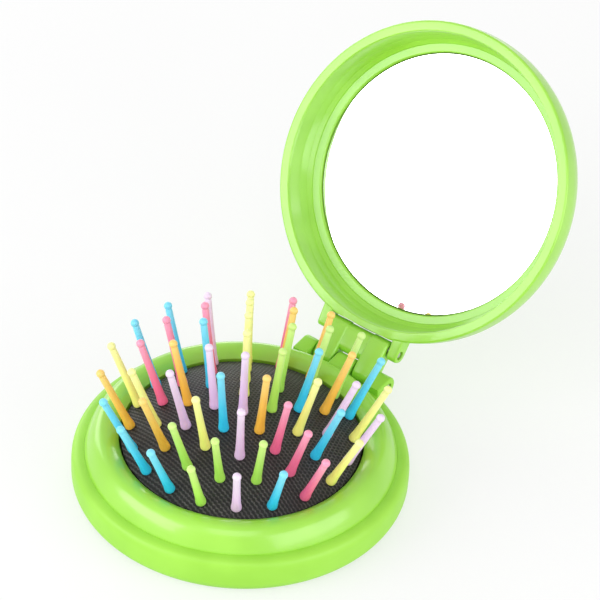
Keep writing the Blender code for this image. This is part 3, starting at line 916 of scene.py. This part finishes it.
@dataclass
class BaseTray:
    """The round tray with its squared shoulder, finger hole, pad rib, two ears and a knuckle."""

    stance: Stance
    hinge: HingeSizes
    radius: float = 0.0350
    foot_round: float = 0.0034
    squareness: float = 4.0
    floor: float = 0.0018
    band_height: float = 0.0046
    shoulder_height: float = 0.0085
    shoulder_width: float = 0.0036
    wall: float = 0.00265
    ledge_height: float = 0.0062
    ledge: float = 0.0017
    rib_outer: float = 0.0279
    rib_inner: float = 0.0259
    rib_top: float = 0.0078
    hole: float = 0.0160
    hole_round: float = 0.0006
    hole_flat: float = 0.0060
    edge_round: float = 0.0003
    root_round: float = 0.0004
    ledge_round: float = 0.0002
    ear_rise: float = 0.7
    shoulder_chords: int = 26
    foot_chords: int = 14
    inside_chords: int = 4
    ear_chords: int = 24
    steps: int = 192

    def profile(self) -> np.ndarray:
        """Closed half section: shoulder, round foot, flat underside, hole, rib and ledge.

        Returns:
            Rows of (radius, height).
        """
        inner = self.radius - self.wall
        centre = self.radius - self.shoulder_width
        rise = self.shoulder_height - self.band_height
        start = (inner - centre) / self.shoulder_width
        shoulder = squarish((centre, self.band_height), self.shoulder_width, rise, start,
                            self.squareness, self.shoulder_chords)
        foot = ellipse((self.radius - self.foot_round, self.foot_round), self.foot_round,
                       self.foot_round, 0.0, -90.0, self.foot_chords)[1:]
        inside = filleted([
            (self.hole + self.hole_flat, 0.0, 0.0), (self.hole, 0.0, self.hole_round),
            (self.hole, self.floor, self.edge_round),
            (self.rib_inner, self.floor, self.root_round),
            (self.rib_inner, self.rib_top, self.edge_round),
            (self.rib_outer, self.rib_top, self.edge_round),
            (self.rib_outer, self.floor, self.root_round),
            (inner - self.ledge, self.floor, self.root_round),
            (inner - self.ledge, self.ledge_height, self.ledge_round),
            (inner, self.ledge_height, 0.0)], self.inside_chords)
        return np.concatenate((shoulder, foot, inside))

    def ear(self, root: float) -> np.ndarray:
        """Outline of an ear: a half circle about the pin and a straight root into the wall.

        Args:
            root: Distance of its root from the base's axis.

        Returns:
            Rows of (y, z).
        """
        y, z = self.stance.lower
        reach = self.hinge.ear_radius
        head = ellipse((y, z), reach, reach, -90.0, 90.0, self.ear_chords)
        return np.concatenate((head, [(root, z + reach * self.ear_rise), (root, z - reach)]))

    def build(self, finish: Material) -> Piece:
        """Turn the tray, free the link's way, add the ears and drill the pin's hole.

        Args:
            finish: Its material.

        Returns:
            The tray.
        """
        tray = turned("moulded_tray", self.profile(), self.steps)
        hinge, pin = self.hinge, self.stance.lower
        hinge.notch(tray, hinge.lower_radius, pin)
        inner = self.radius - self.wall + hinge.overlap
        ear_root = math.sqrt(inner**2 - hinge.ear_inner**2) + hinge.overlap
        for low, high, root in ((-hinge.ear_outer, -hinge.ear_inner, ear_root),
                                (hinge.ear_inner, hinge.ear_outer, ear_root),
                                (-hinge.knuckle_half, hinge.knuckle_half, inner)):
            ear = rounded_plate("ear", self.ear(root), low, high, hinge.edge)
            combine(tray, ear, Joining.UNION)
        hinge.drill(tray, self.radius / 2.0, pin)
        return placed(tray, "base_tray", "base", self.stance.base(), finish)


@dataclass
class TopRing:
    """The full round ring that clamps the pad and slopes down to the tray's shoulder."""

    stance: Stance
    outer_radius: float = 0.03234
    half_width: float = 0.00384
    inner_half: float = 0.0032
    crest: float = 0.0132
    shoulder_height: float = 0.0085
    skirt_bottom: float = 0.0065
    lip_drop: float = 0.0016
    foot_drop: float = 0.0040
    wall: float = 0.0016
    roof: float = 0.0018
    fall: float = 2.2
    outer_share: float = 0.995
    seam: float = 0.0003
    seam_round: float = 0.00002
    skirt_round: float = 0.0002
    root_round: float = 0.0003
    roof_round: float = 0.0006
    roof_shares: Pair = (0.35, 0.25)
    inward_chords: int = 10
    outward_chords: int = 21
    inside_chords: int = 4
    steps: int = 192

    def profile(self) -> np.ndarray:
        """Closed half section. The top falls from the crest by drop * share**fall either side.

        Returns:
            Rows of (radius, height).
        """
        middle = self.outer_radius - self.half_width
        lip = middle - self.inner_half
        inward = np.linspace(1.0, 0.0, self.inward_chords + 1)[:-1]
        outward = np.linspace(0.0, self.outer_share, self.outward_chords + 1)
        drop = self.crest - self.shoulder_height
        crown = np.concatenate((
            np.stack((middle - self.inner_half * inward,
                      self.crest - self.lip_drop * inward**self.fall), axis=-1),
            np.stack((middle + self.half_width * outward,
                      self.crest - drop * outward**self.fall), axis=-1)))
        foot, roof, inside = (self.crest - self.foot_drop, self.crest - self.roof,
                              self.outer_radius - self.wall)
        hollow = filleted([
            (crown[-1, 0], crown[-1, 1], 0.0),
            (self.outer_radius, self.shoulder_height - self.seam, self.seam_round),
            (self.outer_radius, self.skirt_bottom, self.skirt_round),
            (inside, self.skirt_bottom, self.skirt_round),
            (inside, self.shoulder_height + self.seam, self.root_round),
            (middle + self.half_width * self.roof_shares[0], roof, self.roof_round),
            (middle - self.half_width * self.roof_shares[1], roof, self.roof_round),
            (lip + self.wall, foot, self.skirt_round), (lip, foot, self.skirt_round),
            (lip, self.crest - self.lip_drop, 0.0)], self.inside_chords)
        return np.concatenate((crown, hollow[1:-1]))

    def build(self, finish: Material) -> Piece:
        """Turn the ring."""
        ring = turned("moulded_ring", self.profile(), self.steps)
        return placed(ring, "top_ring", "base", self.stance.base(), finish)


@dataclass
class LidShell:
    """The lid: flat rim, deep wall, stepped ledge round the mirror, round back and two ears."""

    stance: Stance
    hinge: HingeSizes
    radius: float = 0.0344
    rim: float = 0.0023
    rim_round: float = 0.0005
    side: float = 0.0026
    back_round: float = 0.0064
    depth: float = 0.0112
    inside: float = 0.0098
    ledge_radius: float = 0.0307
    ledge_depth: float = 0.0066
    ledge_slope: float = 0.00106
    ledge_margin: float = 0.0002
    ledge_round: float = 0.0002
    pocket: float = 0.0284
    pocket_round: float = 0.00015
    wall_corners: Tuple[Corner, ...] = (
        (-0.0001, 0.0, 0.0003), (0.00005, 0.0007, 0.0004), (0.00045, 0.00429, 0.004))
    step_corners: Tuple[Corner, ...] = (
        (-0.0004, -0.0002, 0.0003), (0.0004, 0.0006, 0.0001), (0.0005, 0.0009, 0.00008))
    ear_corner: float = 0.6
    ear_bite: float = 0.6
    way_margin: float = 0.0001
    way_reach: float = 0.0020
    back_chords: int = 18
    rim_chords: int = 8
    well_chords: int = 5
    ear_front_chords: int = 10
    ear_back_chords: int = 12
    steps: int = 192

    def profile(self) -> np.ndarray:
        """Half section from the back's middle, round the rim and in to the pocket's middle.

        The corners of the wall and of the step on the ledge are given as distances inwards,
        depths and roundings.

        Returns:
            Rows of (radius, height).
        """
        low = self.stance.rim_height
        top = low + self.depth
        flat = self.radius - self.back_round
        back = ellipse((flat, low + self.side), self.back_round, self.depth - self.side,
                       90.0, 0.0, self.back_chords)
        rim = ellipse((self.radius - self.rim_round, low + self.rim_round), self.rim_round,
                      self.rim_round, 0.0, -90.0, self.rim_chords)
        inner = self.radius - self.rim
        ledge = low + self.ledge_depth
        well = filleted([
            (inner + self.rim_round, low, 0.0),
            *((inner - inwards, low + deep, soft) for inwards, deep, soft in self.wall_corners),
            *((self.ledge_radius - inwards, ledge + deep, soft)
              for inwards, deep, soft in self.step_corners),
            (self.pocket + self.ledge_margin, ledge + self.ledge_slope, self.ledge_round),
            (self.pocket, ledge + self.ledge_slope + self.ledge_margin, self.pocket_round),
            (self.pocket, low + self.inside, self.ledge_round),
            (0.0, low + self.inside, 0.0)], self.well_chords)
        return np.concatenate(([(0.0, top)], [(flat * 0.5, top)], back, rim, well))

    def ear(self, root: float) -> np.ndarray:
        """Outline of an ear: just behind the rim in front, round about the pin behind.

        Args:
            root: Distance of its root from the lid's axis.

        Returns:
            Rows of (y, z).
        """
        y, z = self.stance.upper
        reach = self.hinge.lid_ear_radius
        corner = reach * self.ear_corner
        front = self.stance.rim_height + self.hinge.ear_sink / 2.0
        back = z + self.hinge.ear_sink
        return np.concatenate((
            ellipse((y + reach - corner, front + corner), corner, corner, -90.0, 0.0,
                    self.ear_front_chords),
            ellipse((y, back), reach, reach, 0.0, 90.0, self.ear_back_chords),
            [(root, back + reach + self.hinge.ear_sink), (root, front)]))

    def build(self, finish: Material) -> Piece:
        """Turn the lid, free the link's way, add the ears and drill the pin's hole.

        Args:
            finish: Its material.

        Returns:
            The lid.
        """
        lid = turned("moulded_lid", self.profile(), self.steps)
        hinge, pin = self.hinge, self.stance.upper
        hinge.notch(lid, hinge.upper_radius, pin)
        near = pin[0] - hinge.upper_radius - hinge.running_gap - self.way_margin
        out, back = self.stance.rim_height - self.way_reach, pin[1] - hinge.running_gap
        way = np.array([(near, out), (pin[0], out), (pin[0], back), (near, back)])
        combine(lid, rounded_plate("way", way, -hinge.ear_inner, hinge.ear_inner, HAIRLINE, 1),
                Joining.DIFFERENCE)
        root = math.sqrt((self.radius - self.rim * self.ear_bite) ** 2 - hinge.ear_inner**2)
        for low, high in ((-hinge.lid_ear_outer, -hinge.ear_inner),
                          (hinge.ear_inner, hinge.lid_ear_outer)):
            ear = rounded_plate("ear", self.ear(root), low, high, hinge.edge)
            combine(lid, ear, Joining.UNION)
        hinge.drill(lid, self.radius / 2.0, pin)
        return placed(lid, "lid_shell", "lid", self.stance.lid(), finish)


@dataclass
class HingeLink:
    """The link: two arms that taper from the lower pin to the upper, joined by a web."""

    stance: Stance
    hinge: HingeSizes

    def build(self, finish: Material) -> Piece:
        """Join the two arms and the web, then drill both holes.

        Args:
            finish: Its material.

        Returns:
            The link.
        """
        hinge, lower, upper = self.hinge, self.stance.lower, self.stance.upper
        inner = hinge.knuckle_half + hinge.running_gap
        outer = hinge.ear_inner - hinge.running_gap
        arm = capsule(lower, upper, hinge.lower_radius, hinge.upper_radius)
        foot = (lower[0], lower[1] + hinge.ear_radius + hinge.web_gap + hinge.web_radius)
        web = capsule(foot, upper, hinge.web_radius, hinge.web_top_radius)
        link = rounded_plate("moulded_link", arm, inner, outer, hinge.arm_edge)
        combine(link, rounded_plate("arm", arm, -outer, -inner, hinge.arm_edge), Joining.UNION)
        spread = inner + hinge.arm_edge + hinge.overlap
        combine(link, rounded_plate("web", web, -spread, spread, HAIRLINE, 1), Joining.UNION)
        for pin in (lower, upper):
            hinge.drill(link, hinge.ear_outer, pin)
        return placed(link, "hinge_link", "link", self.stance.link(), finish)


@dataclass
class HingePins:
    """The two steel pins with rounded ends."""

    stance: Stance
    hinge: HingeSizes
    short: float = 0.0003
    end_round: float = 0.00015

    def build(self, finish: Material) -> List[Piece]:
        """Turn both pins, each carried by the piece that holds its ends.

        Args:
            finish: Their material.

        Returns:
            The lower and the upper pin.
        """
        made = []
        hinge, stance = self.hinge, self.stance
        for node, body, pin, outer, place in (
                ("lower_hinge_pin", "base", stance.lower, hinge.ear_outer, stance.base()),
                ("upper_hinge_pin", "lid", stance.upper, hinge.lid_ear_outer, stance.lid())):
            bar = turned_bar("drawn_" + node, hinge.pin_radius, outer - self.short, pin,
                             self.end_round, hinge.hole_steps)
            made.append(placed(bar, node, body, place, finish))
        return made


@dataclass
class MirrorDisc:
    """The round mirror, silvered in front, with a small bevel round both faces."""

    stance: Stance
    recess: float = 0.0085
    thickness: float = 0.0010
    radius: float = 0.0283
    bevel: float = 0.0002
    steps: int = 192

    def middle(self) -> Vector:
        """Where the middle of the silvered face is on the open comb."""
        return self.stance.lid() @ Vector((0.0, 0.0, self.stance.rim_height + self.recess))

    def build(self, finish: Material) -> Piece:
        """Turn the disc.

        Args:
            finish: Its material.

        Returns:
            The mirror.
        """
        low = self.stance.rim_height + self.recess
        top = low + self.thickness
        edge = self.radius - self.bevel
        profile = np.array([(0.0, top), (edge, top), (self.radius, top - self.bevel),
                            (self.radius, low + self.bevel), (edge, low), (0.0, low)])
        disc = turned("silvered_disc", profile, self.steps)
        return placed(disc, "mirror", "lid", self.stance.lid(), finish)


def placed(piece: Piece, node: str, body: str, place: Matrix, finish: Material) -> Piece:
    """Put a finished piece where it stands and let it stand for its plain solid.

    Args:
        piece: The piece, modelled in the shut comb.
        node: The solid that it stands for.
        body: The moving body that carries it.
        place: From the shut comb to where the piece stands.
        finish: Its material.

    Returns:
        The same piece.
    """
    piece.data.transform(place)
    piece.data.materials.clear()
    piece.data.materials.append(finish)
    smooth(piece)
    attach(piece, body)
    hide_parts(node)
    return piece


@dataclass
class Dome:
    """The sphere that the pad's top follows."""

    radius: float = 0.0510
    edge_radius: float = 0.0250
    edge_height: float = 0.01115

    @property
    def rise(self) -> float:
        """Height of the dome over its edge."""
        return self.radius - math.sqrt(self.radius**2 - self.edge_radius**2)

    def height(self, reach: np.ndarray, depth: float = 0.0) -> np.ndarray:
        """Height at a distance from the axis, on the sphere that lies depth under the top."""
        centre = self.edge_height + self.rise - self.radius
        return centre + np.sqrt((self.radius - depth) ** 2 - np.asarray(reach) ** 2)


@dataclass
class Pad:
    """The domed rubber pad with its net face."""

    dome: Dome
    stance: Stance
    thickness: float = 0.0006
    skirt: float = 0.0012
    edge_round: float = 0.0002
    edge_chords: int = 4
    steps: int = 144
    rings: int = 40

    def build(self, finish: Material) -> Piece:
        """Make the pad as a turned shell: over the dome, down its edge and back under it.

        Args:
            finish: Its material.

        Returns:
            The pad.
        """
        reach = np.linspace(0.0, self.dome.edge_radius - self.edge_round, self.rings)
        over = np.stack((reach, self.dome.height(reach)), axis=-1)
        low = self.dome.edge_height - self.skirt
        edge = filleted([(over[-1, 0], over[-1, 1], 0.0),
                         (self.dome.edge_radius, low, self.edge_round),
                         (self.dome.edge_radius - self.thickness, low, 0.0)],
                        self.edge_chords)
        back = reach[::-1] * (1.0 - self.thickness / self.dome.edge_radius)
        under = np.stack((back, self.dome.height(back, self.thickness)), axis=-1)
        points, faces, _ = turned_arrays(np.concatenate((over, edge[1:], under)), self.steps)
        chart = points[:, :2] / PLAN_WIDTH + 0.5
        pad = object_from_arrays("rubber_pad", points, faces, chart, "plan")
        pad.data.transform(self.stance.base())
        pad.data.materials.append(finish)
        self.dome.edge_height + self.dome.rise
        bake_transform(pad)
        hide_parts("cushion")
        return pad


@dataclass
class Bristle:
    """One turned bristle: ball tip, tapering shaft, flared foot, and neck and head below."""

    length: float = 0.0160
    tip_radius: float = 0.00089
    throat_radius: float = 0.00073
    waist_radius: float = 0.00078
    shaft_radius: float = 0.00092
    foot_radius: float = 0.00110
    neck_radius: float = 0.00050
    head_radius: float = 0.00090
    through: float = 0.0017
    head: float = 0.0007
    throat_angle: float = -42.0
    throat_height: float = 0.0004
    swell_power: float = 2.5
    flare_top: float = 0.0026
    foot_height: float = 0.0006
    foot_round: float = 0.0003
    lift: float = 0.00004
    head_round: float = 0.0001
    tip_chords: int = 8
    taper_chords: int = 8
    flare_chords: int = 7
    under_chords: int = 2
    steps: int = 20

    def arrays(self) -> Arrays:
        """The upright bristle with its foot at the origin, turned from one profile.

        Returns:
            Points, faces and their chart, whose second coordinate is the height's share.
        """
        ball = self.length - self.tip_radius
        turn = np.radians(np.linspace(90.0, self.throat_angle, self.tip_chords + 1))
        tip = np.stack((self.tip_radius * np.cos(turn),
                        ball + self.tip_radius * np.sin(turn)), axis=-1)
        tip[0, 0] = 0.0
        start = tip[-1, 1] - self.throat_height
        way = np.linspace(0.0, 1.0, self.taper_chords + 1)
        swell = (self.waist_radius - self.throat_radius) * way
        swell = swell + (self.shaft_radius - self.waist_radius) * way**self.swell_power
        taper = np.stack((self.throat_radius + swell, start + (self.flare_top - start) * way),
                         axis=-1)
        way = np.linspace(0.0, 1.0, self.flare_chords + 1)[1:]
        flare = np.stack((self.shaft_radius + (self.foot_radius - self.shaft_radius)
                          * way**2 * (3.0 - 2.0 * way),
                          self.flare_top - (self.flare_top - self.foot_height) * way), axis=-1)
        bottom = -self.through - self.head
        under = filleted([
            (self.foot_radius, self.foot_height, 0.0),
            (self.foot_radius, self.lift, self.foot_round), (self.neck_radius, self.lift, 0.0),
            (self.neck_radius, -self.through, 0.0),
            (self.head_radius, -self.through, self.head_round),
            (self.neck_radius, bottom, self.head_round), (0.0, bottom, 0.0)],
            self.under_chords)
        profile = np.concatenate((tip, taper, flare, under[1:]))
        points, faces, chart = turned_arrays(profile, self.steps)
        chart[:, 1] = np.clip(points[:, 2] / self.length, 0.0, 1.0)
        return points, faces, chart


@dataclass
class BristleField:
    """The middle bristle and the four rings round it, each ring with its own lean."""

    dome: Dome
    stance: Stance
    bristle: Bristle = field(default_factory=Bristle)
    ring_shares: Tuple[float, ...] = (0.2447, 0.4739, 0.6963, 0.913)
    counts: Tuple[int, ...] = (5, 10, 15, 20)
    starts: Tuple[float, ...] = (270.0, 306.0, 294.0, 306.0)
    leans: Tuple[float, ...] = (6.5, 14.2, 20.6, 24.6)
    tones: Tuple[str, ...] = (
        "blue orange green yellow lilac",
        "lilac pink yellow blue green yellow blue orange lilac yellow",
        "green green pink blue lilac orange lime orange yellow pink pink pink yellow orange green",
        "lilac blue pink yellow lilac yellow blue lime orange pink"
        " yellow lilac blue blue yellow orange blue blue blue green",
    )

    def places(self) -> Iterator[Tuple[str, BristleTone, Matrix]]:
        """Find the place of every bristle.

        Returns:
            The name, tone and placement of each in turn.
        """
        top = Matrix.Translation((0.0, 0.0, float(self.dome.height(0.0))))
        yield "bristle_middle", BristleTone.LILAC, top
        for ring, share in enumerate(self.ring_shares):
            reach = self.dome.edge_radius * share
            lean = math.radians(self.leans[ring])
            for number, tone in enumerate(self.tones[ring].split()):
                angle = math.radians(self.starts[ring] + 360.0 / self.counts[ring] * number)
                place = (Matrix.Rotation(angle, 4, "Z")
                         @ Matrix.Translation((reach, 0.0, float(self.dome.height(reach))))
                         @ Matrix.Rotation(lean, 4, "Y"))
                yield f"bristle_{ring + 1}_{number + 1:02d}", BristleTone[tone.upper()], place

    def build(self, finishes: Dict[BristleTone, Material]) -> List[Piece]:
        """Make every bristle from one set of arrays, each riding on its own body.

        Args:
            finishes: The material of each tone.

        Returns:
            The bristles.
        """
        points, faces, chart = self.bristle.arrays()
        made = []
        for name, tone, place in self.places():
            piece = object_from_arrays("turned_" + name, points, faces, chart)
            piece.data.transform(self.stance.base() @ place)
            piece.data.materials.append(finishes[tone])
            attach(piece, "cushion" if name == "bristle_middle" else name)
            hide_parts(name)
            made.append(piece)
        return made


@dataclass
class Studio:
    """Floor, soft lamps, white surroundings and the camera at the photograph's angle."""

    stance: Stance
    azimuth: float = 35.68
    elevation: float = 37.54
    distance: float = 0.5587
    roll: float = 3.47
    lens: float = 156.09
    sensor: float = 36.0
    clip: float = 0.01
    target: Corner = (-0.01272, 0.03532, 0.0200)
    ambient: float = 0.55
    reach: float = 3.0
    sink: float = 0.00005
    lit: Corner = (0.0, 0.0, 0.02)
    lamps: Tuple[Tuple[str, Corner, Pair, float], ...] = (
        ("face_lamp", (-0.33, -0.64, 0.30), (0.66, 0.40), 3.5),
        ("right_lamp", (0.76, -0.05, 0.24), (0.80, 0.44), 3.2),
        ("high_lamp", (0.36, -0.56, 0.66), (0.46, 0.46), 1.4),
        ("left_lamp", (-0.75, 0.20, 0.26), (0.50, 0.40), 1.5),
        ("back_lamp", (-0.42, 0.70, 0.20), (0.50, 0.30), 1.4))

    def camera(self) -> None:
        """Place the camera on its sphere round the target, rolled about its own axis."""
        a, e, roll = (math.radians(v) for v in (self.azimuth, self.elevation, self.roll))
        away = Vector((math.sin(a) * math.cos(e), -math.cos(a) * math.cos(e), math.sin(e)))
        target = Vector(self.target) + Vector((0.0, self.stance.base_shift, 0.0))
        right = Vector((0.0, 0.0, 1.0)).cross(away).normalized()
        up = away.cross(right)
        side = right * math.cos(roll) + up * math.sin(roll)
        rise = up * math.cos(roll) - right * math.sin(roll)
        lens = bpy.data.cameras.new("camera")
        lens.lens = self.lens
        lens.sensor_width = self.sensor
        lens.clip_start = self.clip
        camera = bpy.data.objects.new("camera", lens)
        turn = Matrix((side, rise, away)).transposed().to_4x4()
        camera.matrix_world = Matrix.Translation(target + away * self.distance) @ turn
        bpy.context.scene.collection.objects.link(camera)
        bpy.context.scene.camera = camera

    def lamp(self, name: str, place: Corner, size: Pair, power: float) -> None:
        """Add a soft lamp that faces the comb.

        Args:
            name: Its name.
            place: Where it stands.
            size: Its width and height.
            power: Its power in watts.
        """
        data = bpy.data.lights.new(name, "AREA")
        data.shape = "RECTANGLE"
        data.size, data.size_y = size
        data.energy = power
        lamp = bpy.data.objects.new(name, data)
        lamp.location = place
        way = Vector(self.lit) - Vector(place)
        lamp.rotation_euler = way.to_track_quat("-Z", "Y").to_euler()
        bpy.context.scene.collection.objects.link(lamp)

    def surroundings(self) -> None:
        """White for camera and reflected rays, and soft grey light for the rest."""
        world = bpy.data.worlds.new("studio")
        bpy.context.scene.world = world
        world.use_nodes = True
        nodes, links = world.node_tree.nodes, world.node_tree.links
        shine = nodes["Background"]
        shine.inputs["Color"].default_value = (1.0, 1.0, 1.0, 1.0)
        path = nodes.new("ShaderNodeLightPath")
        total = nodes.new("ShaderNodeMath")
        total.use_clamp = True
        links.new(path.outputs["Is Camera Ray"], total.inputs[0])
        links.new(path.outputs["Is Glossy Ray"], total.inputs[1])
        strength = nodes.new("ShaderNodeMapRange")
        strength.inputs["To Min"].default_value = self.ambient
        strength.inputs["To Max"].default_value = 1.0
        links.new(total.outputs[0], strength.inputs["Value"])
        links.new(strength.outputs[0], shine.inputs["Strength"])

    def floor(self, finish: Material) -> None:
        """Lay a wide flat floor.

        Args:
            finish: Its material.
        """
        corners = np.array([(-1.0, -1.0), (1.0, -1.0), (1.0, 1.0), (-1.0, 1.0)]) * self.reach
        points = np.column_stack((corners, np.full(len(corners), -self.sink)))
        floor = object_from_arrays("floor", points, [[0, 1, 2, 3]])
        floor.data.materials.append(finish)

    def build(self) -> None:
        """Set the whole stage."""
        self.camera()
        self.surroundings()
        self.floor(PaleFloor().material())
        for lamp in self.lamps:
            self.lamp(*lamp)
        bpy.context.scene.view_settings.view_transform = "Standard"


def main() -> None:
    """Load the frame, build the comb's pieces in order and set the stage."""
    logging.basicConfig(level=logging.INFO, format="%(message)s")
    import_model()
    low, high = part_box("top_ring")
    stance = Stance(base_shift=float(low.y + high.y) / 2.0)
    hinge = HingeSizes()
    glossy = GreenPlastic(Gloss.GLOSSY).material()
    satin = GreenPlastic(Gloss.SATIN).material()
    made = [BaseTray(stance, hinge).build(satin), TopRing(stance).build(glossy)]
    made += [HingeLink(stance, hinge).build(glossy), LidShell(stance, hinge).build(glossy)]
    made += HingePins(stance, hinge).build(DrawnSteel().material())
    disc = MirrorDisc(stance)
    glass = SilveredGlass(disc.middle(), disc.radius)
    made.append(disc.build(glass.material()))
    dome = Dome()
    made.append(Pad(dome, stance).build(NetRubber().material()))
    finishes = {tone: BristleNylon(tone).material() for tone in BristleTone}
    made += BristleField(dome, stance).build(finishes)
    for piece in made:
        LOG.info("built %s with %d faces", piece.name, len(piece.data.polygons))
    Studio(stance).build()


if __name__ == "__main__":
    main()
